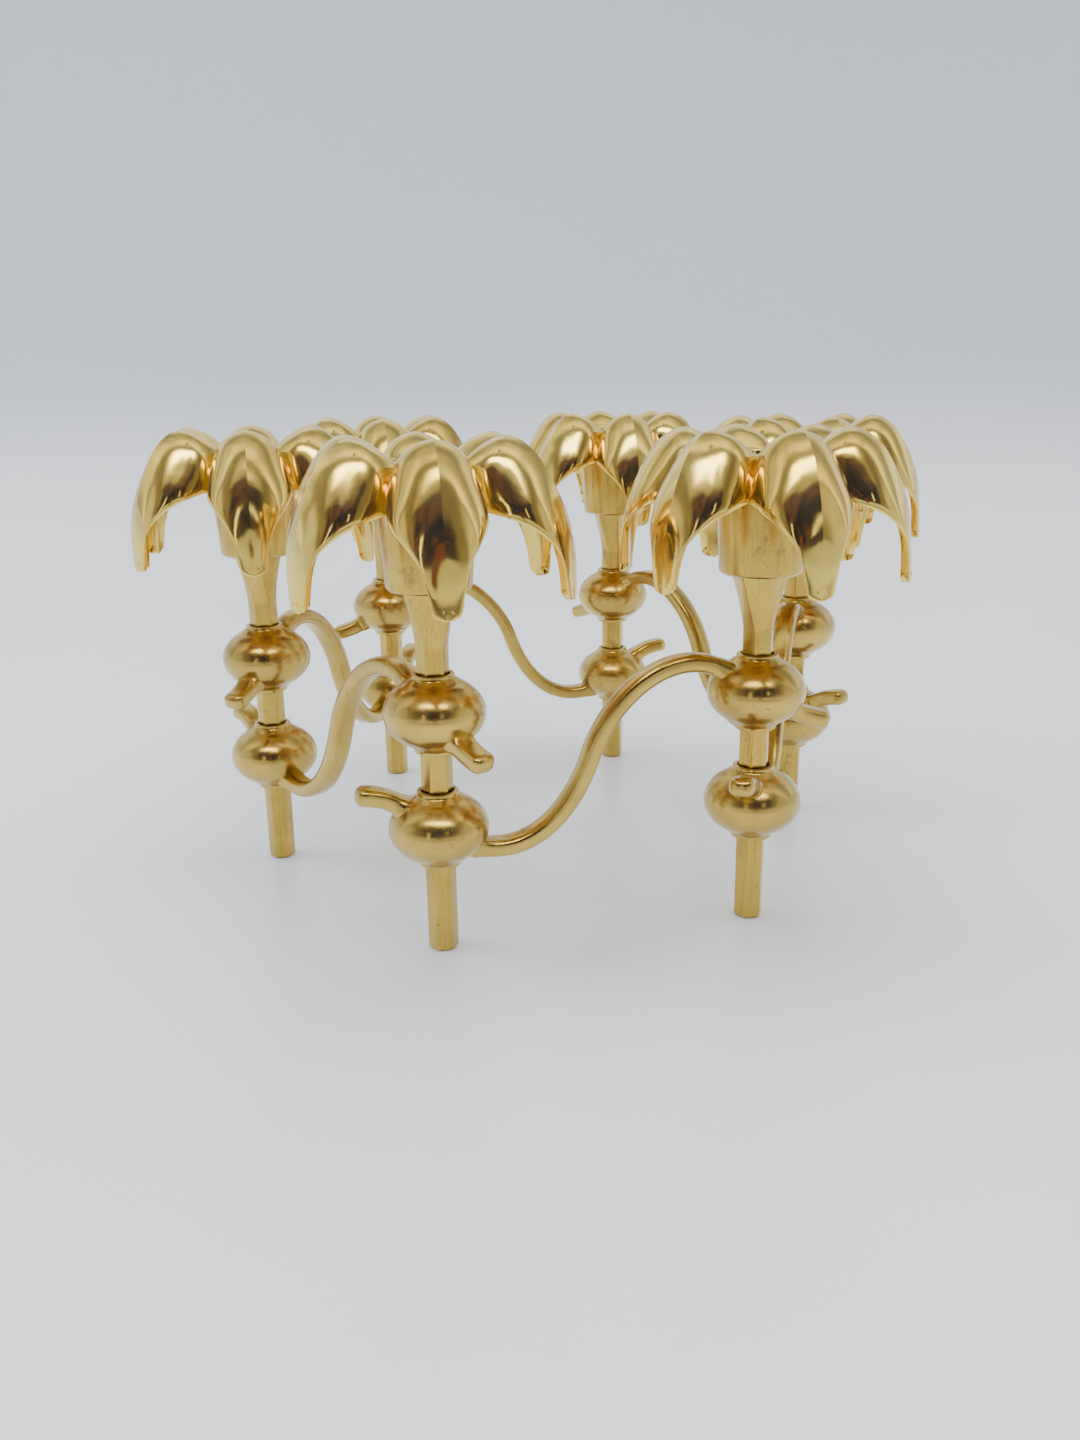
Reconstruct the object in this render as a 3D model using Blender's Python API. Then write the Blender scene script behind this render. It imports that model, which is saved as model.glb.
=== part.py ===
"""Tabletop candelabra: a closed ring of six candle stems joined by six swivelling S-shaped arms.

Stem k stands at 60 * (k - 1) degrees round the ring, and arm k runs from the lower ball on
stem k to the upper ball on stem k + 1. Lengths are in metres, +Z is up, and the origin is on
the table under the middle of the ring.
"""
import math

import bmesh
import bpy
from mathutils import Matrix, Vector

MM = 0.001

# Ring
STEMS = 6
LINK = 82.0 * MM                      # distance between neighbouring stems, and the ring's radius
STEP = math.tau / STEMS
GAP = 0.3 * MM                        # clearance between neighbouring pieces

# Hexagonal post
POST_TOP = 92.0 * MM                  # underside of the candle cup
FLARE_START = 77.7 * MM
FLAT_AT_FOOT = 3.38 * MM              # centre to flat
FLAT_AT_NECK = 3.55 * MM
FLARE_CORNER_FLAT = 6.35 * MM         # centre to the facets that replace the corners, at the top
FLARE_FLAT = 7.15 * MM                # centre to the bar's own flats, at the top
FLARE_FLAT_POWER = 1.35               # how late each of the two widens
FLARE_CORNER_POWER = 1.7
FLARE_STEPS = 5
CORNER_BREAK = 0.12 * MM              # width taken off the hexagon's corners
FOOT_CHAMFER = 0.45 * MM
POST_IN_CUP = 0.3 * MM                # the bar runs this far into the cup, to be joined to it

# Candle cup, one piece with the post
CUP_LEDGE_R = 9.5 * MM
CUP_LEDGE_HEIGHT = 0.7 * MM
CUP_BASE_R = 10.2 * MM
CUP_MOUTH_R = 11.6 * MM
CUP_SHOULDER_Z = 114.0 * MM
SPIGOT_R = 10.75 * MM
SPIGOT_Z = 118.0 * MM
CUP_BORE_R = 10.0 * MM
CUP_FLOOR_Z = 96.0 * MM
CUP_SIDES = 18

# Petal crown
PETALS = 6
RIM_R = 10.3 * MM                     # candle hole
RIM_Z = 121.4 * MM
RIM_LIP = 0.6 * MM                    # the collar stays this far under the rim
COLLAR_R = 11.75 * MM
COLLAR_FOOT_Z = 114.4 * MM
PETAL_THICKNESS = 1.3 * MM
SAME_POINT = 0.05 * MM                # petals share the points of a valley
# Midrib of a petal seen from the side: distance from the stem's axis, height
MIDRIB = ((11.0, 121.4), (15.3, 125.7), (20.8, 127.2), (26.6, 123.6), (31.2, 116.2), (34.0, 108.2),
          (35.5, 99.8), (36.2, 91.2))
# Valley between two petals: distance from the axis, height
VALLEY = ((12.0, 121.2), (15.7, 119.4), (19.1, 116.2), (21.8, 111.4))
# Free edge of a petal below the valley: distance along the petal's own direction, half width, height
FREE_EDGE = ((25.2, 10.6, 109.7), (30.8, 8.1, 106.4), (34.3, 4.9, 101.1), (35.5, 2.9, 91.4))
PETAL_HALF_ACROSS = 2                 # faces from the midrib to an edge

# Ball on an arm
BALL_R = 12.5 * MM
BALL_HALF_HEIGHT = 9.1 * MM
COLLAR_OUTER = 5.2 * MM
COLLAR_HALF_HEIGHT = 9.75 * MM
LOW_BALL_Z = 32.6 * MM
HIGH_BALL_Z = 62.1 * MM
SWIVEL_BORE_R = 4.6 * MM
HEX_SOCKET_FLAT = FLAT_AT_NECK + GAP
COUNTERBORE_DEPTH = 3.0 * MM
CUT_REACH = COLLAR_HALF_HEIGHT + 1.0 * MM
BALL_SIDES = 14
BALL_RINGS = 3

# S-shaped rod: a rounded rectangular bar, side by side with its plane
ROD_HALF_WIDTH = 3.2 * MM
ROD_HALF_DEPTH = 2.35 * MM
ROD_SIDES = 8
ROD_CORNER = 0.96                     # 1.0 would put the bar's corners at its full width and depth
ROD_STEPS = 6                         # steps in each half of the S
# Anchors of the S: along the arm, height, and the handle that leads out of the point
ROD_ANCHORS = ((7.0, 27.5, 16.6, -6.1), (38.8, 48.6, 4.6, 13.9), (75.5, 66.3, 15.0, -11.7))
STUB_STEPS = 3
STUB_SCALES = (1.0, 1.0, 0.92, 0.55)  # the stubs round off at their ends
LOW_STUB = ((-7.0, 37.4), (-13.0, 41.0), (-20.3, 42.6))
HIGH_STUB = ((7.0, 58.0), (13.0, 54.9), (20.0, 52.8))

SMOOTH_ANGLE = math.radians(32)

SATIN_GOLD = ("satin_gold", (0.66, 0.46, 0.17, 1.0), 0.38)
POLISHED_GOLD = ("polished_gold", (0.80, 0.64, 0.26, 1.0), 0.10)
BURNISHED_GOLD = ("burnished_gold", (0.62, 0.42, 0.15, 1.0), 0.24)


def clear_scene():
    for item in list(bpy.data.objects):
        bpy.data.objects.remove(item, do_unlink=True)


def gold(name, colour, roughness):
    material = bpy.data.materials.get(name) or bpy.data.materials.new(name)
    material.use_nodes = True
    shader = material.node_tree.nodes["Principled BSDF"]
    shader.inputs["Base Color"].default_value = colour
    shader.inputs["Metallic"].default_value = 1.0
    shader.inputs["Roughness"].default_value = roughness
    return material


def mesh_object(name, points, faces, collection):
    """A mesh object whose faces all point outwards."""
    mesh = bpy.data.meshes.new(name)
    mesh.from_pydata([tuple(p) for p in points], [], faces)
    work = bmesh.new()
    work.from_mesh(mesh)
    bmesh.ops.recalc_face_normals(work, faces=work.faces)
    work.to_mesh(mesh)
    work.free()
    item = bpy.data.objects.new(name, mesh)
    collection.objects.link(item)
    return item


def stacked_rings(rings):
    """Points and faces that join rings of equal length and cap both ends."""
    sides = len(rings[0])
    points = [p for ring in rings for p in ring]
    faces = []
    for r in range(len(rings) - 1):
        here = r * sides
        above = here + sides
        for i in range(sides):
            j = (i + 1) % sides
            faces.append((here + i, here + j, above + j, above + i))
    faces.append(tuple(reversed(range(sides))))
    faces.append(tuple(range(len(points) - sides, len(points))))
    return points, faces


def circle(radius, z, sides):
    return [Vector((radius * math.cos(math.tau * i / sides), radius * math.sin(math.tau * i / sides), z))
            for i in range(sides)]


def turned(name, profile, sides, collection):
    """A solid of revolution about Z from (radius, height) pairs."""
    rings = [circle(radius, z, sides) for radius, z in profile]
    return mesh_object(name, *stacked_rings(rings), collection)


def boolean(target, cutter, operation):
    """Apply one exact Boolean and remove the second object."""
    modifier = target.modifiers.new("cut", "BOOLEAN")
    modifier.operation = operation
    modifier.solver = "EXACT"
    modifier.object = cutter
    graph = bpy.context.evaluated_depsgraph_get()
    result = bpy.data.meshes.new_from_object(target.evaluated_get(graph))
    target.modifiers.clear()
    target.data = result
    bpy.data.objects.remove(cutter, do_unlink=True)


def smooth_spline(points, t):
    """Point at t, from 0 to 1, on a Catmull-Rom curve through the points."""
    last = len(points) - 1
    span = min(int(t * last), last - 1)
    u = t * last - span
    p1 = Vector(points[span])
    p2 = Vector(points[span + 1])
    p0 = Vector(points[span - 1]) if span else p1 * 2 - p2
    p3 = Vector(points[span + 2]) if span + 2 <= last else p2 * 2 - p1
    return 0.5 * (2 * p1 + (p2 - p0) * u + (2 * p0 - 5 * p1 + 4 * p2 - p3) * u * u
                  + (3 * p1 - p0 - 3 * p2 + p3) * u ** 3)


# ---------------------------------------------------------------- post

def post_section(flat, corner_flat, z):
    """Twelve points: a hexagon with corners on the axes, cut by a second one turned by 30 degrees."""
    half_facet = (flat - corner_flat * math.cos(STEP / 2)) / math.sin(STEP / 2)
    ring = []
    for corner in range(STEMS):
        turn = Matrix.Rotation(STEP * corner, 3, "Z")
        ring.append(turn @ Vector((corner_flat, -half_facet, z)))
        ring.append(turn @ Vector((corner_flat, half_facet, z)))
    return ring


def post_flats(z):
    """Distances from the axis to the bar's flats and to the facets over its corners."""
    if z <= FLARE_START:
        flat = FLAT_AT_FOOT + (FLAT_AT_NECK - FLAT_AT_FOOT) * z / FLARE_START
        return flat, flat / math.cos(STEP / 2) - CORNER_BREAK
    rise = (z - FLARE_START) / (POST_TOP - FLARE_START)
    start = FLAT_AT_NECK / math.cos(STEP / 2) - CORNER_BREAK
    flat = FLAT_AT_NECK + (FLARE_FLAT - FLAT_AT_NECK) * rise ** FLARE_FLAT_POWER
    return flat, start + (FLARE_CORNER_FLAT - start) * rise ** FLARE_CORNER_POWER


def make_post(name, collection):
    flare = POST_TOP + POST_IN_CUP - FLARE_START
    heights = [FOOT_CHAMFER]
    heights += [FLARE_START + flare * i / FLARE_STEPS for i in range(FLARE_STEPS + 1)]
    flat, corner_flat = post_flats(0.0)
    rings = [post_section(flat - FOOT_CHAMFER, corner_flat - FOOT_CHAMFER, 0.0)]
    for z in heights:
        rings.append(post_section(*post_flats(z), z))
    post = mesh_object(name, *stacked_rings(rings), collection)
    cup_profile = [(CUP_LEDGE_R, POST_TOP), (CUP_BASE_R, POST_TOP + CUP_LEDGE_HEIGHT),
                   (CUP_MOUTH_R, CUP_SHOULDER_Z), (SPIGOT_R, CUP_SHOULDER_Z), (SPIGOT_R, SPIGOT_Z),
                   (CUP_BORE_R, SPIGOT_Z), (CUP_BORE_R, CUP_FLOOR_Z)]
    cup = turned("cup", cup_profile, CUP_SIDES, collection)
    boolean(post, cup, "UNION")
    return post


# ---------------------------------------------------------------- petal crown

def petal_edge(row):
    """Where a cross-section ends: in the valley shared with the next petal, or on the free edge."""
    if row < len(VALLEY):
        distance, height = VALLEY[row]
        return Vector((distance * math.cos(STEP / 2), distance * math.sin(STEP / 2), height)) * MM
    return Vector(FREE_EDGE[row - len(VALLEY)]) * MM


def petal_section(row):
    """Points of one cross-section of a petal lying along +X, a quarter ellipse down to each edge."""
    top = Vector(MIDRIB[row]) * MM
    edge = petal_edge(row)
    points = []
    for i in range(-PETAL_HALF_ACROSS, PETAL_HALF_ACROSS + 1):
        angle = math.pi / 2 * i / PETAL_HALF_ACROSS
        fall = 1.0 - math.cos(angle)
        points.append(Vector((top.x + (edge.x - top.x) * fall, edge.y * math.sin(angle),
                              top.y + (edge.z - top.y) * fall)))
    return points


def make_crown(name, collection):
    """Six petals as one thickened shell, on a collar that sits over the cup's spigot."""
    rows = len(MIDRIB)
    width = 2 * PETAL_HALF_ACROSS + 1
    points = []
    faces = []
    for petal in range(PETALS):
        turn = Matrix.Rotation(STEP * (petal + 0.5), 3, "Z")
        first = len(points)
        for row in range(rows):
            points += [turn @ p for p in petal_section(row)]
        for row in range(rows - 1):
            for i in range(width - 1):
                a = first + row * width + i
                faces.append((a, a + 1, a + 1 + width, a + width))
    shell = mesh_object(name, points, faces, collection)
    work = bmesh.new()
    work.from_mesh(shell.data)
    bmesh.ops.remove_doubles(work, verts=work.verts, dist=SAME_POINT)
    bmesh.ops.recalc_face_normals(work, faces=work.faces)
    if sum(f.normal.z for f in work.faces) < 0:
        bmesh.ops.reverse_faces(work, faces=work.faces)
    work.to_mesh(shell.data)
    work.free()
    thick = shell.modifiers.new("thickness", "SOLIDIFY")
    thick.thickness = PETAL_THICKNESS
    thick.offset = -1.0
    graph = bpy.context.evaluated_depsgraph_get()
    shell.data = bpy.data.meshes.new_from_object(shell.evaluated_get(graph))
    shell.modifiers.clear()
    collar = turned("collar", [(COLLAR_R, COLLAR_FOOT_Z), (COLLAR_R, RIM_Z - RIM_LIP)], CUP_SIDES, collection)
    boolean(shell, collar, "UNION")
    seat_r = SPIGOT_R + GAP
    clear_r = CUP_MOUTH_R + GAP
    room = turned("room", [(clear_r, CUP_FLOOR_Z), (clear_r, COLLAR_FOOT_Z), (seat_r, COLLAR_FOOT_Z),
                           (seat_r, SPIGOT_Z + GAP), (RIM_R, SPIGOT_Z + GAP), (RIM_R, RIM_Z + RIM_R)],
                  CUP_SIDES, collection)
    boolean(shell, room, "DIFFERENCE")
    return shell


# ---------------------------------------------------------------- arm

def ball_profile():
    start = math.acos(COLLAR_OUTER / BALL_R)
    profile = [(COLLAR_OUTER, -COLLAR_HALF_HEIGHT)]
    for i in range(2 * BALL_RINGS + 1):
        angle = -start + 2 * start * i / (2 * BALL_RINGS)
        profile.append((BALL_R * math.cos(angle), BALL_HALF_HEIGHT * math.sin(angle)))
    profile.append((COLLAR_OUTER, COLLAR_HALF_HEIGHT))
    return profile


def bezier_point(anchors, t):
    """Point on the S, with each anchor's handle mirrored on its other side."""
    span = min(int(t * (len(anchors) - 1)), len(anchors) - 2)
    u = t * (len(anchors) - 1) - span
    ax, az, ahx, ahz = anchors[span]
    bx, bz, bhx, bhz = anchors[span + 1]
    p0, p3 = Vector((ax, 0, az)), Vector((bx, 0, bz))
    p1, p2 = p0 + Vector((ahx, 0, ahz)), p3 - Vector((bhx, 0, bhz))
    return (1 - u) ** 3 * p0 + 3 * (1 - u) ** 2 * u * p1 + 3 * (1 - u) * u * u * p2 + u ** 3 * p3


def swept_bar(name, path, scales, collection):
    """A rounded rectangular bar along points in the XZ plane."""
    rings = []
    for i, (centre, scale) in enumerate(zip(path, scales)):
        before, after = path[max(i - 1, 0)], path[min(i + 1, len(path) - 1)]
        tangent = (after - before).normalized()
        normal = Vector((-tangent.z, 0, tangent.x))
        ring = []
        for k in range(ROD_SIDES):
            angle = math.tau * (k + 0.5) / ROD_SIDES
            side, up = math.cos(angle), math.sin(angle)
            stretch = ROD_CORNER / max(abs(side), abs(up))
            ring.append(centre + normal * up * stretch * ROD_HALF_DEPTH * scale
                        + Vector((0, side * stretch * ROD_HALF_WIDTH * scale, 0)))
        rings.append(ring)
    return mesh_object(name, *stacked_rings(rings), collection)


def make_arm(name, collection):
    """One casting along +X: lower ball at the origin's axis, upper ball one link away."""
    steps = 2 * ROD_STEPS
    rod_path = [bezier_point(ROD_ANCHORS, i / steps) * MM for i in range(steps + 1)]
    arm = swept_bar(name, rod_path, [1.0] * len(rod_path), collection)
    for stub, x in ((LOW_STUB, 0.0), (HIGH_STUB, LINK)):
        points = [Vector((x / MM + along, 0, height)) for along, height in stub]
        path = [smooth_spline(points, i / STUB_STEPS) * MM for i in range(STUB_STEPS + 1)]
        boolean(arm, swept_bar("stub", path, STUB_SCALES, collection), "UNION")
    for z, x in ((LOW_BALL_Z, 0.0), (HIGH_BALL_Z, LINK)):
        ball = turned("ball", ball_profile(), BALL_SIDES, collection)
        ball.data.transform(Matrix.Translation((x, 0, z)))
        boolean(arm, ball, "UNION")
    bore_ends = [(SWIVEL_BORE_R, HIGH_BALL_Z - CUT_REACH), (SWIVEL_BORE_R, HIGH_BALL_Z + CUT_REACH)]
    bore = turned("bore", bore_ends, BALL_SIDES, collection)
    bore.data.transform(Matrix.Translation((LINK, 0, 0)))
    boolean(arm, bore, "DIFFERENCE")
    counterbore_floor = LOW_BALL_Z + COLLAR_HALF_HEIGHT - COUNTERBORE_DEPTH
    counterbore_ends = [(SWIVEL_BORE_R, counterbore_floor), (SWIVEL_BORE_R, LOW_BALL_Z + CUT_REACH)]
    boolean(arm, turned("counterbore", counterbore_ends, BALL_SIDES, collection), "DIFFERENCE")
    corner = HEX_SOCKET_FLAT / math.cos(STEP / 2)
    socket_ends = [(corner, LOW_BALL_Z - CUT_REACH), (corner, LOW_BALL_Z + CUT_REACH)]
    boolean(arm, turned("socket", socket_ends, STEMS, collection), "DIFFERENCE")
    return arm


# ---------------------------------------------------------------- assembly

def finish(item, material):
    item.data.materials.clear()
    item.data.materials.append(material)
    item.data.shade_smooth()
    item.data.set_sharp_from_angle(angle=SMOOTH_ANGLE)


def copy_of(item, name, collection):
    twin = bpy.data.objects.new(name, item.data)
    collection.objects.link(twin)
    return twin


def main():
    clear_scene()
    collection = bpy.context.scene.collection
    masters = (("post", make_post, SATIN_GOLD), ("crown", make_crown, POLISHED_GOLD),
               ("arm", make_arm, BURNISHED_GOLD))
    made = {}
    for kind, maker, material in masters:
        made[kind] = maker(kind + "_1", collection)
        finish(made[kind], gold(*material))
    for k in range(STEMS):
        stem = bpy.data.objects.new(f"stem_axis_{k + 1}", None)
        stem.location = (LINK * math.cos(STEP * k), LINK * math.sin(STEP * k), 0)
        collection.objects.link(stem)
        for kind, item in made.items():
            piece = copy_of(item, f"{kind}_{k + 1}", collection) if k else item
            piece.parent = stem
        # an arm points at the next stem; posts and crowns are the same after any sixth of a turn
        bpy.data.objects[f"arm_{k + 1}"].rotation_euler = (0, 0, STEP * (k + 2))
    bpy.context.view_layer.update()


main()
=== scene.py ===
import math

import bmesh
import bpy
from mathutils import Matrix, Vector


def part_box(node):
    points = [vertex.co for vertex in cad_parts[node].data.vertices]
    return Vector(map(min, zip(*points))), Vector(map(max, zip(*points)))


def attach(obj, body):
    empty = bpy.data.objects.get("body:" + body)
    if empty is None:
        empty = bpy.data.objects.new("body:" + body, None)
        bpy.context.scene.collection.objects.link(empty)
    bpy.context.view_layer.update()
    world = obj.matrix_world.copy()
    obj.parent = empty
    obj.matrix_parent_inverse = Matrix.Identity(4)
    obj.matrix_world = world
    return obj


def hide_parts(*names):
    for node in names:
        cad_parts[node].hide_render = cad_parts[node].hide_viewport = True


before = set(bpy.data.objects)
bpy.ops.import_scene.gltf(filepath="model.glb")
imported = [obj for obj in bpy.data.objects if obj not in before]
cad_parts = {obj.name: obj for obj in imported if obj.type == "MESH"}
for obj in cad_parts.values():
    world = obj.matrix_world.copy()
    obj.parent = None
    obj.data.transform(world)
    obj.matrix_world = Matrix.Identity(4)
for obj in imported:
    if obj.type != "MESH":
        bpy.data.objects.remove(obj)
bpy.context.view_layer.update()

MM = 0.001
STEMS = 6
STEP = math.tau / STEMS

# Post and candle cup
POST_TOP = 92.0 * MM
FLARE_START = 77.7 * MM
FLAT_AT_FOOT = 3.38 * MM
FLAT_AT_NECK = 3.55 * MM
FLARE_CORNER_FLAT = 6.35 * MM
FLARE_FLAT = 7.15 * MM
FLAT_FLARE_POWER = 1.35               # the flats start to flare sooner than the corners
CORNER_FLARE_POWER = 1.7
CORNER_BREAK = 0.12 * MM
FOOT_CHAMFER = 0.45 * MM
FLARE_STEPS = 14
INTO_CUP = 0.4 * MM                   # how far the bar runs up into the cup
POST_EDGE_BEVEL = 0.16 * MM
POST_BEVEL_ANGLE = 20
CUP_SIDES = 96
CUP_PROFILE = ((8.8, 91.9), (9.25, 92.0), (9.5, 92.08), (10.02, 92.5), (10.18, 92.75), (10.24, 93.1),
               (10.9, 103.5), (11.58, 113.7), (11.5, 113.95), (11.3, 114.0), (10.75, 114.0), (10.75, 117.8),
               (10.6, 118.0), (10.15, 118.0), (10.0, 117.85), (10.0, 96.4), (9.6, 96.0))

# Petal crown
MIDRIB = ((11.0, 121.4), (15.3, 125.7), (20.8, 127.1), (26.6, 123.6), (31.2, 116.2), (33.95, 108.2),
          (35.1, 99.8), (35.55, 91.2))
VALLEY = ((12.0, 121.2), (15.7, 119.4), (19.1, 116.2), (21.8, 111.4))
FREE_EDGE = ((25.2, 10.6, 109.7), (30.8, 8.1, 106.4), (34.15, 4.9, 101.1), (35.05, 2.9, 91.4))
ROWS = 42
TIP_ROWS = (0.978, 0.986, 0.993, 1.0)
HALF_ACROSS = 12
CREASE = 0.17                         # how much of a section's fall starts straight away at the midrib
CREASE_RISE = (0.24, 0.56)            # where along the petal the crease starts and is full
CREASE_FADE = (0.65, 1.0)
CREASE_LOSS = 0.7
RIDGE = 0.024                         # a small sharper ridge on top of that, and its width in radians
RIDGE_WIDTH = 0.12
RIDGE_RISE = (0.05, 0.2)
RIDGE_FADE = (0.6, 1.0)
EDGE_THICKNESS = 1.25 * MM
TIP_THICKNESS = 2.2 * MM
THICKENING = (0.6, 1.0)
TIP_RADIUS = 1.5
TIP_SPAN = 70.0                       # length in mm that one unit of the petal's parameter covers at the tip
PETAL_WELD = 0.01 * MM
PETAL_EDGE_BEVEL = 0.3 * MM
PETAL_BEVEL_ANGLE = 50
FOLD_HEIGHTS = (97.0 * MM, 126.9 * MM)
FOLD_FROM_RADIUS = 20.0 * MM
ON_MIDRIB = 1e-4
RIM_PROFILE = ((10.3, 118.3), (11.05, 118.3), (11.05, 114.4), (11.75, 114.4), (11.9, 120.2), (11.75, 121.0),
               (11.35, 121.35), (10.9, 121.4), (10.5, 121.25), (10.3, 120.9))
RIM_SIDES = 96

# Arm
LOW_BALL_Z = 32.6 * MM
HIGH_BALL_Z = 62.1 * MM
# The ball, its collars and its bores are in mm
BALL_R = 12.5
BALL_HALF_HEIGHT = 9.1
COLLAR_PROFILE = ((4.9, 9.75), (5.05, 9.72), (5.2, 9.6), (5.24, 9.2), (5.34, 8.85), (5.6, 8.55), (6.0, 8.32))
COLLAR_STEP = 0.4                     # the ball starts this far outside the collar's foot, in mm
BALL_SIDES = 72
BALL_RINGS = 26
SWIVEL_BORE_R = 4.25
COUNTERBORE_R = 4.15
HEX_SOCKET_FLAT = 3.85
COUNTERBORE_DEPTH = 3.0
COLLAR_HALF_HEIGHT = 9.75
ROD_HALF_WIDTH = 3.2 * MM
ROD_HALF_DEPTH = 2.35 * MM
ROD_SQUARENESS = 3.1
ROD_SIDES = 36
ROD_STEPS = 84
ROD_ANCHORS = ((7.0, 27.5, 16.6, -6.1), (38.8, 48.6, 4.6, 13.9), (75.5, 66.3, 15.0, -11.7))
LOW_STUB = ((-7.0, 37.4), (-13.0, 41.0), (-20.3, 42.6))
HIGH_STUB = ((7.0, 58.0), (13.0, 54.9), (20.0, 52.8))
STUB_STEPS = 26
STUB_END = 2.4 * MM
STUB_END_STEPS = 10
STUB_END_QUARTER = 9.3                # steps in a full quarter turn, so that a small flat stays on the end
STUB_END_POWER = 0.8
FILLET = 0.9 * MM
ROOT_SWELL = 0.22
CUT_REACH = 11.0                      # half the height in mm of the tools that cut the bores

# Smooth shading breaks at edges sharper than this, in degrees
SHARP_ANGLE = {"post": 12, "crown": 40, "arm": 32}

# Camera: the direction that it looks in on plan, its right-hand side, and its place
CAMERA_PLACE = Vector((-0.0686, -0.3413, 0.139))
LOOK = Vector((0.1942, 0.981, 0.0))
RIGHT = Vector((0.981, -0.1942, 0.0))
PITCH = math.radians(16.34)
ROLL = math.radians(-0.87)
LENS = 29.16
SENSOR = 36.0

# Stage
HUB_RADIUS = 0.001
FLOOR_RADII = (0.3, 0.6, 0.9)
SWEEP_RADIUS = 0.7                    # the curve between the floor and the wall
SWEEP_STEPS = 24
WALL_HEIGHTS = (0.9, 1.3)
STAGE_SIDES = 96

# What the metal mirrors
DOME_RADIUS = 1.45
DOME_SIDES = 72
DOME_RISES = 30
DIM_FLOOR_RADII = (0.40, 0.6, 0.9, 1.2)
ABOVE_FLOOR = 0.002
# Brightness round the studio: 0 is the far floor line, 0.5 overhead, 1 the floor line of the open front
SKY_BANDS = ((0.00, (0.80, 0.81, 0.83)), (0.10, (1.10, 1.10, 1.10)), (0.24, (1.35, 1.35, 1.33)),
             (0.37, (0.45, 0.45, 0.45)), (0.46, (0.85, 0.85, 0.84)), (0.57, (1.60, 1.57, 1.52)),
             (0.615, (0.42, 0.42, 0.41)), (0.64, (0.42, 0.42, 0.41)), (0.67, (0.85, 0.83, 0.80)),
             (0.725, (0.55, 0.53, 0.50)), (0.745, (0.050, 0.032, 0.022)), (0.86, (0.020, 0.014, 0.010)),
             (1.00, (0.05, 0.03, 0.02)))
# Where the front begins and where its window lies, on the same scale
FRONT_EDGE = (0.60, 0.66)
WINDOW_TOP = (0.638, 0.656)
WINDOW_FOOT = (0.688, 0.704)
# How far to the side the window ends and the front turns dusky and then pale: 0 is the middle, 1 square to it
WINDOW_ENDS = (0.28, 0.50)
DUSKY_SPAN = (0.50, 0.62)
PALE_SPAN = (0.70, 0.84)
PATCH_EDGES = (0.52, 0.62)
PALE_SIDES = (0.82, 0.83, 0.85, 1)
DUSKY_SIDES = (0.30, 0.26, 0.21, 1)
WINDOW_GLOW = (8.5, 8.3, 7.9, 1)
BROWN_PATCHES = (0.13, 0.060, 0.034, 1)


# ---------------------------------------------------------------- mesh helpers

def mesh_object(name, points, faces):
    mesh = bpy.data.meshes.new(name)
    mesh.from_pydata([tuple(p) for p in points], [], faces)
    work = bmesh.new()
    work.from_mesh(mesh)
    bmesh.ops.recalc_face_normals(work, faces=work.faces)
    work.to_mesh(mesh)
    work.free()
    item = bpy.data.objects.new(name, mesh)
    bpy.context.scene.collection.objects.link(item)
    return item


def circles(profile, sides, unit=1.0):
    """Rings of points about Z from (radius, height) pairs."""
    return [[Vector((r * math.cos(math.tau * i / sides), r * math.sin(math.tau * i / sides), z)) * unit
             for i in range(sides)] for r, z in profile]


def stacked_rings(rings, caps=True):
    """Points and faces of a skin over the rings: with two end caps, or else with its two ends joined."""
    sides = len(rings[0])
    points = [p for ring in rings for p in ring]
    loops = len(rings) - 1 if caps else len(rings)
    faces = []
    for r in range(loops):
        here = r * sides
        above = ((r + 1) % len(rings)) * sides
        for i in range(sides):
            j = (i + 1) % sides
            faces.append((here + i, here + j, above + j, above + i))
    if caps:
        faces.append(tuple(reversed(range(sides))))
        faces.append(tuple(range(len(points) - sides, len(points))))
    return points, faces


def turned(name, profile, sides, caps=True):
    """A solid of revolution about Z from (radius, height) pairs in mm; without caps the profile is a loop."""
    return mesh_object(name, *stacked_rings(circles(profile, sides, MM), caps))


def apply_modifiers(item):
    graph = bpy.context.evaluated_depsgraph_get()
    result = bpy.data.meshes.new_from_object(item.evaluated_get(graph))
    item.modifiers.clear()
    item.data = result


def boolean(target, cutter, operation):
    modifier = target.modifiers.new("cut", "BOOLEAN")
    modifier.operation = operation
    modifier.solver = "EXACT"
    modifier.object = cutter
    apply_modifiers(target)
    bpy.data.objects.remove(cutter, do_unlink=True)


def join(target, other):
    """Puts both closed shells in one mesh."""
    work = bmesh.new()
    work.from_mesh(target.data)
    work.from_mesh(other.data)
    work.to_mesh(target.data)
    work.free()
    bpy.data.objects.remove(other, do_unlink=True)


def soften_edges(item, width, angle):
    """Small rounded bevels on every edge sharper than the angle, in degrees."""
    bevel = item.modifiers.new("soften", "BEVEL")
    bevel.width = width
    bevel.segments = 2
    bevel.limit_method = "ANGLE"
    bevel.angle_limit = math.radians(angle)
    bevel.harden_normals = False
    apply_modifiers(item)


def on_curve(points, t):
    """Point at t, from 0 to 1, on a Catmull-Rom curve through the points."""
    last = len(points) - 1
    span = min(int(t * last), last - 1)
    u = t * last - span
    p1 = Vector(points[span])
    p2 = Vector(points[span + 1])
    p0 = Vector(points[span - 1]) if span else p1 * 2 - p2
    p3 = Vector(points[span + 2]) if span + 2 <= last else p2 * 2 - p1
    return 0.5 * (2 * p1 + (p2 - p0) * u + (2 * p0 - 5 * p1 + 4 * p2 - p3) * u * u
                  + (3 * p1 - p0 - 3 * p2 + p3) * u ** 3)


def smoothstep(low, high, x):
    """0 at low, 1 at high, with a soft start and end."""
    t = min(max((x - low) / (high - low), 0.0), 1.0)
    return t * t * (3.0 - 2.0 * t)


# ---------------------------------------------------------------- post and cup

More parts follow.
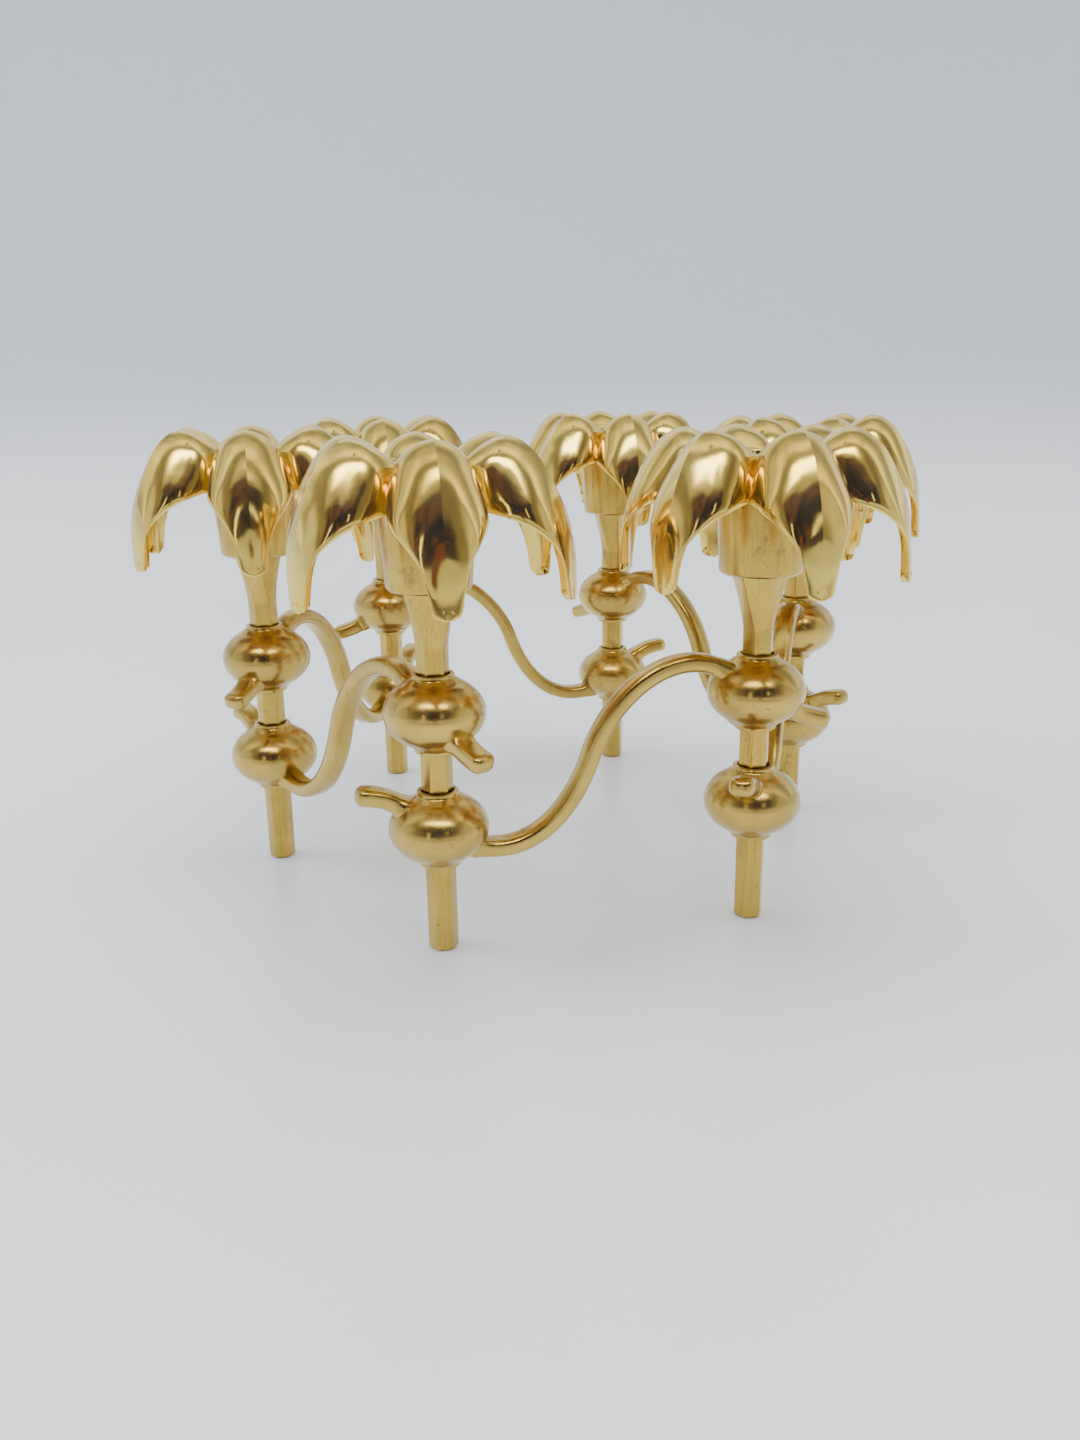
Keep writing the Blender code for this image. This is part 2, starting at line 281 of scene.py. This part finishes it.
def post_section(flat, corner_flat, z):
    """The hexagonal bar's outline, given how far its sides and its small corner flats are from the axis."""
    half_facet = (flat - corner_flat * math.cos(STEP / 2)) / math.sin(STEP / 2)
    ring = []
    for corner in range(STEMS):
        turn = Matrix.Rotation(STEP * corner, 3, "Z")
        ring.append(turn @ Vector((corner_flat, -half_facet, z)))
        ring.append(turn @ Vector((corner_flat, half_facet, z)))
    return ring


def post_flats(z):
    """Flat distances of the sides and of the corners at a height: a slow taper, then the flare."""
    if z <= FLARE_START:
        flat = FLAT_AT_FOOT + (FLAT_AT_NECK - FLAT_AT_FOOT) * z / FLARE_START
        return flat, flat / math.cos(STEP / 2) - CORNER_BREAK
    rise = (z - FLARE_START) / (POST_TOP - FLARE_START)
    start = FLAT_AT_NECK / math.cos(STEP / 2) - CORNER_BREAK
    return (FLAT_AT_NECK + (FLARE_FLAT - FLAT_AT_NECK) * rise ** FLAT_FLARE_POWER,
            start + (FLARE_CORNER_FLAT - start) * rise ** CORNER_FLARE_POWER)


def make_post():
    flat, corner_flat = post_flats(0.0)
    rings = [post_section(flat - FOOT_CHAMFER, corner_flat - FOOT_CHAMFER, 0.0)]
    rings.append(post_section(*post_flats(FOOT_CHAMFER), FOOT_CHAMFER))
    top = POST_TOP + INTO_CUP
    for i in range(FLARE_STEPS + 1):
        z = FLARE_START + (top - FLARE_START) * i / FLARE_STEPS
        rings.append(post_section(*post_flats(z), z))
    post = mesh_object("post", *stacked_rings(rings))
    soften_edges(post, POST_EDGE_BEVEL, POST_BEVEL_ANGLE)
    boolean(post, turned("cup", CUP_PROFILE, CUP_SIDES), "UNION")
    return post


# ---------------------------------------------------------------- petal crown

def petal_edge(t):
    """Edge of a petal along +X, in mm: first the valley shared with the next petal, then the free edge."""
    split = (len(VALLEY) - 1) / (len(MIDRIB) - 1)
    plane = Vector((math.cos(STEP / 2), math.sin(STEP / 2), 0))
    if t <= split:
        r, z = on_curve(VALLEY, t / split)
        return plane * r + Vector((0, 0, z))
    r, z = VALLEY[-1]
    start = tuple(plane * r + Vector((0, 0, z)))
    edge = on_curve((start,) + FREE_EDGE, (t - split) / (1 - split))
    to_tip = (1 - t) * TIP_SPAN
    if to_tip < TIP_RADIUS:
        edge.y -= TIP_RADIUS - math.sqrt(TIP_RADIUS ** 2 - (TIP_RADIUS - to_tip) ** 2)
    return edge


def petal_row(t):
    """Points across a petal, from edge over midrib to edge: rounded, with a crease along the middle."""
    top = on_curve(MIDRIB, t)
    edge = petal_edge(t)
    crease = CREASE * smoothstep(*CREASE_RISE, t) * (1.0 - CREASE_LOSS * smoothstep(*CREASE_FADE, t))
    ridge = RIDGE * smoothstep(*RIDGE_RISE, t) * (1.0 - smoothstep(*RIDGE_FADE, t))
    row = []
    for i in range(-HALF_ACROSS, HALF_ACROSS + 1):
        angle = math.pi / 2 * i / HALF_ACROSS
        fall = (1 - math.cos(angle)) * (1 - crease) + abs(math.sin(angle)) * crease
        fall += ridge * (1 - math.exp(-abs(angle) / RIDGE_WIDTH)) * math.cos(angle)
        row.append(Vector((top.x + (edge.x - top.x) * fall, edge.y * math.sin(angle),
                           top.y + (edge.z - top.y) * fall)) * MM)
    return row


def petal_sheet():
    """The six petals as one open sheet, with a vertex group that thickens them towards the tips."""
    along = [i / ROWS for i in range(ROWS)] + list(TIP_ROWS)
    width = 2 * HALF_ACROSS + 1
    points = []
    faces = []
    weights = []
    for petal in range(STEMS):
        turn = Matrix.Rotation(STEP * (petal + 0.5), 3, "Z")
        first = len(points)
        for t in along:
            points += [turn @ p for p in petal_row(t)]
            weights += [smoothstep(*THICKENING, t)] * width
        for s in range(len(along) - 1):
            for i in range(width - 1):
                a = first + s * width + i
                faces.append((a, a + 1, a + 1 + width, a + width))
    sheet = mesh_object("crown", points, faces)
    group = sheet.vertex_groups.new(name="thick")
    for i, weight in enumerate(weights):
        group.add([i], weight, "REPLACE")
    return sheet


def weld_facing_up(sheet):
    work = bmesh.new()
    work.from_mesh(sheet.data)
    bmesh.ops.remove_doubles(work, verts=work.verts, dist=PETAL_WELD)
    bmesh.ops.recalc_face_normals(work, faces=work.faces)
    if sum(f.normal.z for f in work.faces) < 0:
        bmesh.ops.reverse_faces(work, faces=work.faces)
    work.to_mesh(sheet.data)
    work.free()


def make_crown():
    crown = petal_sheet()
    weld_facing_up(crown)
    thick = crown.modifiers.new("thickness", "SOLIDIFY")
    thick.thickness = TIP_THICKNESS
    thick.offset = -1.0
    thick.vertex_group = "thick"
    thick.thickness_vertex_group = EDGE_THICKNESS / TIP_THICKNESS
    thick.material_offset = 1
    thick.material_offset_rim = 0
    for _ in range(2):                # the upper side's slot and the underside's
        crown.data.materials.append(None)
    apply_modifiers(crown)
    soften_edges(crown, PETAL_EDGE_BEVEL, PETAL_BEVEL_ANGLE)
    join(crown, turned("rim", RIM_PROFILE, RIM_SIDES, caps=False))
    return crown


# ---------------------------------------------------------------- arm

def ball_profile():
    """A squat ball between two collars, as (radius, height) from the ball's middle in mm."""
    start = math.acos((COLLAR_PROFILE[-1][0] + COLLAR_STEP) / BALL_R)
    profile = [(r, -z) for r, z in COLLAR_PROFILE]
    for i in range(BALL_RINGS + 1):
        angle = -start + 2 * start * i / BALL_RINGS
        profile.append((BALL_R * math.cos(angle), BALL_HALF_HEIGHT * math.sin(angle)))
    profile += [(r, z) for r, z in reversed(COLLAR_PROFILE)]
    return profile


def bezier_point(anchors, t):
    """Point at t, from 0 to 1, on cubic spans through anchors given as x, z and their handle's x, z."""
    span = min(int(t * (len(anchors) - 1)), len(anchors) - 2)
    u = t * (len(anchors) - 1) - span
    ax, az, ahx, ahz = anchors[span]
    bx, bz, bhx, bhz = anchors[span + 1]
    p0, p3 = Vector((ax, 0, az)), Vector((bx, 0, bz))
    p1, p2 = p0 + Vector((ahx, 0, ahz)), p3 - Vector((bhx, 0, bhz))
    return (1 - u) ** 3 * p0 + 3 * (1 - u) ** 2 * u * p1 + 3 * (1 - u) * u * u * p2 + u ** 3 * p3


def swept_bar(name, path, scales):
    """A bar with a superellipse section along points in the XZ plane."""
    rings = []
    power = 2.0 / ROD_SQUARENESS
    for i, (centre, scale) in enumerate(zip(path, scales)):
        before, after = path[max(i - 1, 0)], path[min(i + 1, len(path) - 1)]
        tangent = (after - before).normalized()
        normal = Vector((-tangent.z, 0, tangent.x))
        ring = []
        for k in range(ROD_SIDES):
            angle = math.tau * (k + 0.5) / ROD_SIDES
            c, s = math.cos(angle), math.sin(angle)
            side = math.copysign(abs(c) ** power, c) * ROD_HALF_WIDTH * scale
            up = math.copysign(abs(s) ** power, s) * ROD_HALF_DEPTH * scale
            ring.append(centre + normal * up + Vector((0, side, 0)))
        rings.append(ring)
    return mesh_object(name, *stacked_rings(rings))


def outside_ball(point, centre):
    """How far a point in the XZ plane is outside the ball there."""
    d = point - centre
    size = math.hypot(d.x / (BALL_R * MM), d.z / (BALL_HALF_HEIGHT * MM))
    return d.length * (1.0 - 1.0 / size) if size > 1.0 else 0.0


def root_scale(point, centres):
    """The bar swells a little where it runs into a ball."""
    near = min(outside_ball(point, c) for c in centres)
    return 1.0 + ROOT_SWELL * math.exp(-near / FILLET)


def stub_bar(stub, shift, ball):
    """A short round-ended stub that starts inside a ball."""
    points = [Vector((x, 0, z)) for x, z in stub]
    path = [on_curve(points, i / STUB_STEPS) * MM + Vector((shift, 0, 0)) for i in range(STUB_STEPS + 1)]
    direction = (path[-1] - path[-2]).normalized()
    body_end = path[-1] - direction * STUB_END
    path = [p for p in path if (p - body_end).dot(direction) < 0]
    scales = [root_scale(p, (ball,)) for p in path]
    for i in range(STUB_END_STEPS):
        angle = math.pi / 2 * i / STUB_END_QUARTER
        path.append(body_end + direction * STUB_END * math.sin(angle))
        scales.append(max(math.cos(angle), 0.0) ** STUB_END_POWER)
    return swept_bar("stub", path, scales)


def cut_along_z(target, centre, radius, low, high, sides):
    """Cuts an upright prism; its radius, and its ends above the centre, are in mm."""
    cutter = turned("cutter", [(radius, low), (radius, high)], sides)
    cutter.data.transform(Matrix.Translation(centre))
    boolean(target, cutter, "DIFFERENCE")


def make_arm(link):
    low, high = Vector((0, 0, LOW_BALL_Z)), Vector((link, 0, HIGH_BALL_Z))
    path = [bezier_point(ROD_ANCHORS, i / ROD_STEPS) * MM for i in range(ROD_STEPS + 1)]
    arm = swept_bar("arm", path, [root_scale(p, (low, high)) for p in path])
    boolean(arm, stub_bar(LOW_STUB, 0.0, low), "UNION")
    boolean(arm, stub_bar(HIGH_STUB, link, high), "UNION")
    for centre in (low, high):
        ball = turned("ball", ball_profile(), BALL_SIDES)
        ball.data.transform(Matrix.Translation(centre))
        boolean(arm, ball, "UNION")
    cut_along_z(arm, high, SWIVEL_BORE_R, -CUT_REACH, CUT_REACH, BALL_SIDES)
    cut_along_z(arm, low, COUNTERBORE_R, COLLAR_HALF_HEIGHT - COUNTERBORE_DEPTH, CUT_REACH, BALL_SIDES)
    cut_along_z(arm, low, HEX_SOCKET_FLAT / math.cos(STEP / 2), -CUT_REACH, CUT_REACH, STEMS)
    return arm


# ---------------------------------------------------------------- materials

def new_material(name):
    material = bpy.data.materials.new(name)
    material.use_nodes = True
    return material, material.node_tree, material.node_tree.nodes["Principled BSDF"]


def add(tree, kind, inputs=None, **settings):
    """A node with its settings; an input given as a socket is linked and any other is a constant."""
    node = tree.nodes.new(kind)
    for key, value in settings.items():
        setattr(node, key, value)
    for key, value in (inputs or {}).items():
        if isinstance(value, bpy.types.NodeSocket):
            tree.links.new(value, node.inputs[key])
        else:
            node.inputs[key].default_value = value
    return node


def noise(tree, place, scale, detail=3.0, roughness=0.5, seed=None):
    inputs = {"Vector": place, "Scale": scale, "Detail": detail, "Roughness": roughness}
    if seed is not None:
        inputs["W"] = seed
    dimensions = "3D" if seed is None else "4D"
    return add(tree, "ShaderNodeTexNoise", inputs, noise_dimensions=dimensions).outputs[0]


def ramp(tree, value, low, high, from_value=0.0, to_value=1.0):
    return add(tree, "ShaderNodeMapRange", {"Value": value, "From Min": low, "From Max": high,
                                            "To Min": from_value, "To Max": to_value},
               interpolation_type="SMOOTHSTEP").outputs[0]


def math_node(tree, operation, a, b):
    return add(tree, "ShaderNodeMath", {0: a, 1: b}, operation=operation).outputs[0]


def mix(tree, factor, a, b):
    return add(tree, "ShaderNodeMix", {0: factor, 6: a, 7: b}, data_type="RGBA").outputs[2]


def stretched(tree, place, scale):
    return add(tree, "ShaderNodeMapping", {"Vector": place, "Scale": scale}).outputs[0]


def object_place(tree):
    return add(tree, "ShaderNodeTexCoord").outputs["Object"]


def piece_seed(tree):
    """A different number for each copy of a piece, so that no two wear alike."""
    return math_node(tree, "MULTIPLY", add(tree, "ShaderNodeObjectInfo").outputs["Random"], 40.0)


def bump(tree, height, strength, distance, normal=None):
    inputs = {"Height": height, "Strength": strength, "Distance": distance}
    if normal is not None:
        inputs["Normal"] = normal
    return add(tree, "ShaderNodeBump", inputs).outputs[0]


def product(tree, first, second):
    return math_node(tree, "MULTIPLY", first, second)


# Scales of the metal's wear, as features per metre
DRIFT_SCALE = 60.0
CLOUD_SCALE = 170.0
DENT_SCALE = 220.0
SPECK_SCALE = 1500.0
SCRATCH_SCALE = 2300.0
GRAIN_SCALE = 2600.0
SCRATCH_STRETCH = (1.0, 1.0, 0.035)   # the scratches run up and down
SPECK_COLOUR = (0.10, 0.055, 0.02, 1.0)
CLOUD_EDGES = (0.74, 0.86)
GRAIN_DEPTH = 0.03 * MM
DENT_DEPTH = 0.4 * MM


def gold_material(name, pale, deep, tarnish, worn_edge, roughness, grain, specks, tarnish_cover, scratches,
                  streaks):
    """Lacquered brass: colour drift, tarnish clouds, dark specks, fine grain, scratches and worn edges."""
    material, tree, shader = new_material(name)
    place = object_place(tree)
    seed = piece_seed(tree)
    drift = noise(tree, place, DRIFT_SCALE, detail=3.0, roughness=0.55, seed=seed)
    clouds = noise(tree, place, CLOUD_SCALE, detail=5.0, roughness=0.62, seed=seed)
    fine = noise(tree, place, GRAIN_SCALE, detail=2.0, roughness=0.6)
    dots = noise(tree, place, SPECK_SCALE, detail=1.0, roughness=0.4, seed=seed)
    long_place = stretched(tree, place, SCRATCH_STRETCH)
    lines = noise(tree, long_place, SCRATCH_SCALE, detail=2.0, roughness=0.6, seed=seed)
    dents = noise(tree, place, DENT_SCALE, detail=1.0, roughness=0.4, seed=seed)

    colour = mix(tree, ramp(tree, drift, 0.35, 0.65), pale, deep)
    cloud_low, cloud_high = (edge - tarnish_cover for edge in CLOUD_EDGES)
    cover = ramp(tree, clouds, cloud_low, cloud_high, 0.0, 0.75)
    colour = mix(tree, cover, colour, tarnish)
    colour = mix(tree, ramp(tree, lines, 0.45, 0.75, 0.0, streaks), colour, tarnish)
    sharpness = add(tree, "ShaderNodeNewGeometry").outputs["Pointiness"]
    colour = mix(tree, ramp(tree, sharpness, 0.52, 0.60, 0.0, 0.6), colour, worn_edge)
    speck = ramp(tree, dots, 0.71, 0.77, 0.0, specks)
    colour = mix(tree, speck, colour, SPECK_COLOUR)
    tree.links.new(colour, shader.inputs["Base Color"])

    rough = ramp(tree, clouds, 0.3, 0.75, roughness * 0.82, roughness * 1.35)
    rough = math_node(tree, "ADD", rough, product(tree, speck, 0.25))
    tree.links.new(rough, shader.inputs["Roughness"])
    height = math_node(tree, "ADD", product(tree, fine, grain), product(tree, lines, scratches))
    height = math_node(tree, "SUBTRACT", height, product(tree, speck, 0.5))
    swell = bump(tree, dents, 0.12, DENT_DEPTH)
    tree.links.new(bump(tree, height, 0.5, GRAIN_DEPTH, swell), shader.inputs["Normal"])
    shader.inputs["Metallic"].default_value = 1.0
    shader.inputs["Coat Weight"].default_value = 0.8
    shader.inputs["Coat Roughness"].default_value = 0.5
    return material


POLISHED = gold_material(
    "polished_gold", pale=(0.88, 0.64, 0.13, 1), deep=(0.80, 0.55, 0.085, 1),
    tarnish=(0.42, 0.24, 0.05, 1), worn_edge=(0.98, 0.73, 0.15, 1),
    roughness=0.10, grain=0.15, specks=0.25, tarnish_cover=0.02, scratches=0.12, streaks=0.0)
SATIN = gold_material(
    "satin_gold", pale=(0.64, 0.430, 0.060, 1), deep=(0.53, 0.345, 0.045, 1),
    tarnish=(0.28, 0.17, 0.035, 1), worn_edge=(0.62, 0.36, 0.17, 1),
    roughness=0.21, grain=2.4, specks=1.0, tarnish_cover=0.15, scratches=2.4, streaks=0.50)
BURNISHED = gold_material(
    "burnished_gold", pale=(0.62, 0.425, 0.080, 1), deep=(0.50, 0.335, 0.060, 1),
    tarnish=(0.25, 0.155, 0.045, 1), worn_edge=(0.70, 0.48, 0.10, 1),
    roughness=0.20, grain=0.8, specks=0.8, tarnish_cover=0.125, scratches=0.4, streaks=0.15)
UNDERSIDE = gold_material(
    "underside_gold", pale=(0.50, 0.365, 0.10, 1), deep=(0.42, 0.30, 0.075, 1),
    tarnish=(0.22, 0.14, 0.045, 1), worn_edge=(0.56, 0.41, 0.12, 1),
    roughness=0.26, grain=1.0, specks=0.6, tarnish_cover=0.10, scratches=0.6, streaks=0.2)


def stage_material():
    """A pale satin floor that turns into a slightly darker, cooler wall: the wall's darker, cooler colour is
    painted shade with a painted cool tint of light.
    """
    material, tree, shader = new_material("studio_floor")
    place = object_place(tree)
    shade = noise(tree, place, 2.5, detail=2.0, roughness=0.5)
    colour = mix(tree, ramp(tree, shade, 0.3, 0.7), (0.88, 0.885, 0.89, 1), (0.92, 0.915, 0.91, 1))
    height = add(tree, "ShaderNodeSeparateXYZ", {0: place}).outputs["Z"]
    # painted shade: the colour turns darker and cooler with height, up the wall
    colour = mix(tree, ramp(tree, height, -0.10, 0.17), colour, (0.48, 0.50, 0.54, 1))
    tree.links.new(colour, shader.inputs["Base Color"])
    shader.inputs["Roughness"].default_value = 0.24
    shader.inputs["Specular IOR Level"].default_value = 0.5
    scuffs = noise(tree, place, 90.0, detail=4.0, roughness=0.6)
    tree.links.new(bump(tree, scuffs, 0.05, 0.2 * MM), shader.inputs["Normal"])
    return material


# ---------------------------------------------------------------- assembly

def finish_mesh(item, materials, angle):
    item.data.materials.clear()
    for material in materials:
        item.data.materials.append(material)
    item.data.validate()              # mends the -0 vertex weights that a bevel can leave
    item.data.shade_smooth()
    item.data.set_sharp_from_angle(angle=math.radians(angle))


def stem_centre(k):
    low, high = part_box(f"post_{k}")
    return Vector(((low.x + high.x) / 2, (low.y + high.y) / 2, 0.0))


def on_fold(point):
    """Whether a crown's point is on the folded part of a petal's midrib."""
    off_midrib = abs(math.sin((math.atan2(point.y, point.x) - STEP / 2) * STEMS / 2))
    return (off_midrib < ON_MIDRIB and FOLD_HEIGHTS[0] < point.z < FOLD_HEIGHTS[1]
            and point.xy.length > FOLD_FROM_RADIUS)


def mark_midribs(mesh):
    """The fold line down the middle of each petal stays crisp where it is folded at all."""
    for edge in mesh.edges:
        if all(on_fold(mesh.vertices[i].co) for i in edge.vertices):
            edge.use_edge_sharp = True


def place_pieces():
    centres = [stem_centre(k) for k in range(1, STEMS + 1)]
    link = (centres[1] - centres[0]).length
    masters = {"post": make_post(), "crown": make_crown(), "arm": make_arm(link)}
    materials = {"post": [SATIN], "crown": [POLISHED, UNDERSIDE], "arm": [BURNISHED]}
    for kind, master in masters.items():
        finish_mesh(master, materials[kind], SHARP_ANGLE[kind])
    mark_midribs(masters["crown"].data)
    for k in range(1, STEMS + 1):
        here = centres[k - 1]
        ahead = centres[k % STEMS] - here
        for kind, master in masters.items():
            item = master.copy()
            item.name = f"{kind}_look_{k}"
            bpy.context.scene.collection.objects.link(item)
            item.location = here
            if kind == "arm":
                item.rotation_euler = (0, 0, math.atan2(ahead.y, ahead.x))
            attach(item, f"stem_{k}")
            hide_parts(f"{kind}_{k}")
    for master in masters.values():
        bpy.data.objects.remove(master, do_unlink=True)


# ---------------------------------------------------------------- stage, light and camera

def from_camera(right, forward, z):
    """A point given from the object's middle: metres to the camera's right, away from the camera, and up."""
    return RIGHT * right + LOOK * forward + Vector((0, 0, z))


def make_stage():
    """A round floor that sweeps up into a wall."""
    floor = FLOOR_RADII[-1]
    wall = floor + SWEEP_RADIUS
    profile = [(HUB_RADIUS, 0.0)] + [(r, 0.0) for r in FLOOR_RADII]
    for i in range(1, SWEEP_STEPS + 1):
        angle = math.pi / 2 * i / SWEEP_STEPS
        profile.append((floor + SWEEP_RADIUS * math.sin(angle), SWEEP_RADIUS * (1 - math.cos(angle))))
    profile += [(wall, z) for z in WALL_HEIGHTS]
    points, faces = stacked_rings(circles(profile, STAGE_SIDES))
    bowl = mesh_object("studio_floor", points, faces[:-1])
    for polygon in bowl.data.polygons:
        if polygon.normal.z < 0 or polygon.center.xy.dot(polygon.normal.xy) > 0:
            polygon.flip()
    bowl.data.materials.append(stage_material())
    bowl.data.shade_smooth()


def glowing(item):
    """Gives an item that lights only what mirrors it an empty material, and returns the node tree."""
    material = bpy.data.materials.new(item.name)
    material.use_nodes = True
    material.node_tree.nodes.clear()
    item.data.materials.append(material)
    item.visible_camera = False
    item.visible_diffuse = False
    item.visible_shadow = False
    return material.node_tree


def surface_output(tree, surface):
    tree.links.new(surface.outputs[0], add(tree, "ShaderNodeOutputMaterial").inputs[0])


def aimed(item, position, target, axis):
    """Puts an item at a position with its axis, Z or -Z, towards the target."""
    item.location = position
    item.rotation_euler = (Vector(target) - Vector(position)).to_track_quat(axis, "Y").to_euler()


def card(name, position, target, size, colour, strength, corners=4):
    """A flat card seen only in reflections: four corners make a rectangle and more make a disc."""
    reach = 0.5 / math.cos(math.pi / corners)
    outline = [(size[0] * reach * math.cos(math.tau * (i + 0.5) / corners),
                size[1] * reach * math.sin(math.tau * (i + 0.5) / corners), 0) for i in range(corners)]
    item = mesh_object(name, outline, [tuple(range(corners))])
    aimed(item, position, target, "Z")
    tree = glowing(item)
    surface_output(tree, add(tree, "ShaderNodeEmission", {"Color": colour, "Strength": strength}))


def sky_bands(tree, turn):
    bands = add(tree, "ShaderNodeValToRGB", {"Fac": turn})
    elements = bands.color_ramp.elements
    elements.remove(elements[-1])
    elements[0].position, elements[0].color = SKY_BANDS[0][0], SKY_BANDS[0][1] + (1.0,)
    for position, colour in SKY_BANDS[1:]:
        elements.new(position).color = colour + (1.0,)
    bands.color_ramp.interpolation = "EASE"
    return bands.outputs["Color"]


def dot_with(tree, vector, direction):
    inputs = {0: vector, 1: tuple(direction)}
    return add(tree, "ShaderNodeVectorMath", inputs, operation="DOT_PRODUCT").outputs["Value"]


def sky_colour(tree, out, turn, wide, front):
    """Colour in the direction out: turn goes over the top to the front, and wide goes out to the sides."""
    colour = sky_bands(tree, turn)
    colour = mix(tree, product(tree, ramp(tree, wide, *DUSKY_SPAN), front), colour, DUSKY_SIDES)
    colour = mix(tree, product(tree, ramp(tree, wide, *PALE_SPAN), front), colour, PALE_SIDES)
    window = product(tree, ramp(tree, turn, *WINDOW_TOP), ramp(tree, turn, *WINDOW_FOOT, 1.0, 0.0))
    window = product(tree, window, ramp(tree, wide, *WINDOW_ENDS, 1.0, 0.0))
    colour = mix(tree, window, colour, WINDOW_GLOW)
    patches = ramp(tree, noise(tree, out, 5.0, detail=3.0, roughness=0.55), *PATCH_EDGES)
    patches = product(tree, patches, front)
    return add(tree, "ShaderNodeMix", {0: patches, 6: colour, 7: BROWN_PATCHES},
               data_type="RGBA", blend_type="LIGHTEN").outputs[2]


def studio_reflection():
    """What the metal mirrors: a pale studio, with a dim room and a dim far floor at its open front."""
    profile = [(r, ABOVE_FLOOR) for r in DIM_FLOOR_RADII]
    for i in range(DOME_RISES):
        angle = math.pi / 2 * i / DOME_RISES
        profile.append((DOME_RADIUS * math.cos(angle), DOME_RADIUS * math.sin(angle) + ABOVE_FLOOR))
    profile.append((HUB_RADIUS, DOME_RADIUS + ABOVE_FLOOR))
    points, faces = stacked_rings(circles(profile, DOME_SIDES))
    tree = glowing(mesh_object("studio_reflection", points, faces[:-2]))

    place = object_place(tree)
    out = add(tree, "ShaderNodeVectorMath", {0: place}, operation="NORMALIZE").outputs[0]
    rise = add(tree, "ShaderNodeSeparateXYZ", {0: out}).outputs["Z"]
    away = dot_with(tree, out, LOOK)
    side = dot_with(tree, out, RIGHT)
    wander = product(tree, math_node(tree, "SUBTRACT", noise(tree, out, 3.0, detail=2.0), 0.5), 0.07)
    turn = math_node(tree, "DIVIDE", math_node(tree, "ARCTAN2", rise, away), math.pi)
    turn = math_node(tree, "ADD", turn, wander)
    wide = math_node(tree, "ADD", math_node(tree, "ABSOLUTE", side, 0.0), product(tree, wander, 2.0))
    colour = sky_colour(tree, out, turn, wide, front=ramp(tree, turn, *FRONT_EDGE))
    clouds = ramp(tree, noise(tree, out, 2.4, detail=2.0), 0.36, 0.62, 0.70, 1.12)
    glow = add(tree, "ShaderNodeEmission", {"Color": colour, "Strength": clouds})

    clear = add(tree, "ShaderNodeBsdfTransparent")
    far = add(tree, "ShaderNodeVectorMath", {0: place}, operation="LENGTH").outputs["Value"]
    near_front = ramp(tree, away, -0.75, -0.45, 1.0, 0.0)
    dim_floor = product(tree, ramp(tree, far, DIM_FLOOR_RADII[0], 0.80), near_front)
    cover = math_node(tree, "MAXIMUM", dim_floor, ramp(tree, rise, 0.003, 0.006))
    blend = add(tree, "ShaderNodeMixShader", {0: cover, 1: clear.outputs[0], 2: glow.outputs[0]})
    surface_output(tree, blend)


def area_light(name, position, target, size, power, colour):
    """A soft light that isn't mirrored itself: the metal mirrors the studio reflection instead."""
    data = bpy.data.lights.new(name, "AREA")
    data.shape = "RECTANGLE"
    data.size, data.size_y = size
    data.energy = power
    data.color = colour
    item = bpy.data.objects.new(name, data)
    aimed(item, position, target, "-Z")
    item.visible_glossy = False
    bpy.context.scene.collection.objects.link(item)


def make_camera():
    forward = LOOK * math.cos(PITCH) - Vector((0, 0, 1)) * math.sin(PITCH)
    up = RIGHT.cross(forward)
    right = RIGHT * math.cos(ROLL) + up * math.sin(ROLL)
    up = up * math.cos(ROLL) - RIGHT * math.sin(ROLL)
    data = bpy.data.cameras.new("camera")
    data.lens = LENS
    data.sensor_width = SENSOR
    data.clip_start = 0.01
    data.dof.use_dof = False
    camera = bpy.data.objects.new("camera", data)
    turn = Matrix((right, up, -forward)).transposed().to_4x4()
    camera.matrix_world = Matrix.Translation(CAMERA_PLACE) @ turn
    bpy.context.scene.collection.objects.link(camera)
    bpy.context.scene.camera = camera


def make_light():
    world = bpy.data.worlds.new("studio_light")
    world.use_nodes = True
    background = world.node_tree.nodes["Background"]
    background.inputs["Color"].default_value = (0.88, 0.93, 1.0, 1.0)
    background.inputs["Strength"].default_value = 1.15
    bpy.context.scene.world = world
    middle = (0.0, 0.0, 0.08)
    area_light("overhead", from_camera(0.1, 0.2, 1.35), middle, size=(2.6, 2.2), power=37.5,
               colour=(1.0, 0.98, 0.95))
    area_light("left_soft", from_camera(-1.2, 0.1, 0.9), middle, size=(0.8, 0.6), power=9.0,
               colour=(0.62, 0.80, 1.0))
    studio_reflection()
    card("ceiling_spot", from_camera(0.0, -0.28, 1.26), middle, size=(0.13, 0.13),
         colour=(0.20, 0.16, 0.11, 1), strength=1.0, corners=24)
    card("warm_strip", from_camera(0.06, -1.1, 0.22), middle, size=(0.13, 0.34),
         colour=(0.40, 0.13, 0.05, 1), strength=0.45)
    card("bright_strip", from_camera(-0.40, -1.1, 0.36), middle, size=(0.07, 0.46),
         colour=(1, 0.97, 0.9, 1), strength=2.6)
    card("door_light", from_camera(0.42, -1.1, 0.52), middle, size=(0.05, 0.34),
         colour=(1, 0.96, 0.9, 1), strength=2.2)


make_stage()
make_light()
make_camera()
place_pieces()
